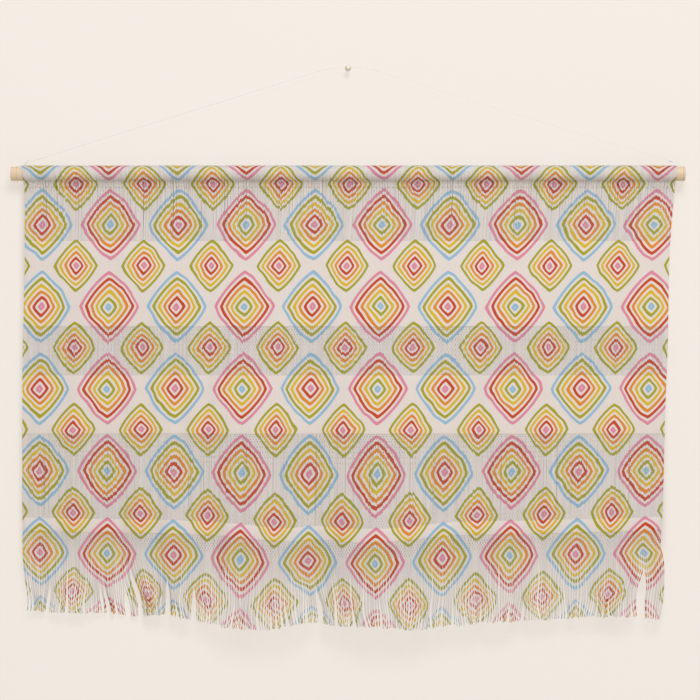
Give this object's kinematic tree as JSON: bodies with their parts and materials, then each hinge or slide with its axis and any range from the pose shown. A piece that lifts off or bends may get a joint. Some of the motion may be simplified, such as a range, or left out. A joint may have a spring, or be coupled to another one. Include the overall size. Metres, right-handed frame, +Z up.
{
  "type": "textile wall hanging on a dowel",
  "caption": "Woven wall hanging with close and open bands and a long fringe, its rod pocket on a wooden dowel, held by a clear line over a nail.",
  "frame": {"origin": "middle of the nail's rear end, in the plane of the wall", "axes": "+X along the dowel to the viewer's right, +Y into the wall, +Z up; the hanging lies at negative Y"},
  "size_m": [0.8232, 0.044, 0.6896],
  "materials": {
    "printed_weave": "matt printed weave in close and open bands",
    "fringe_yarn": "matt printed warp yarn",
    "pale_wood": "sanded, bare",
    "clear_line": "clear nylon",
    "brass": "dull"
  },
  "bodies": {
    "root": {"cloth": "printed_weave", "fringe": "fringe_yarn", "dowel": "pale_wood", "hanging_line": "clear_line", "nail": "brass"}
  },
  "joints": []
}
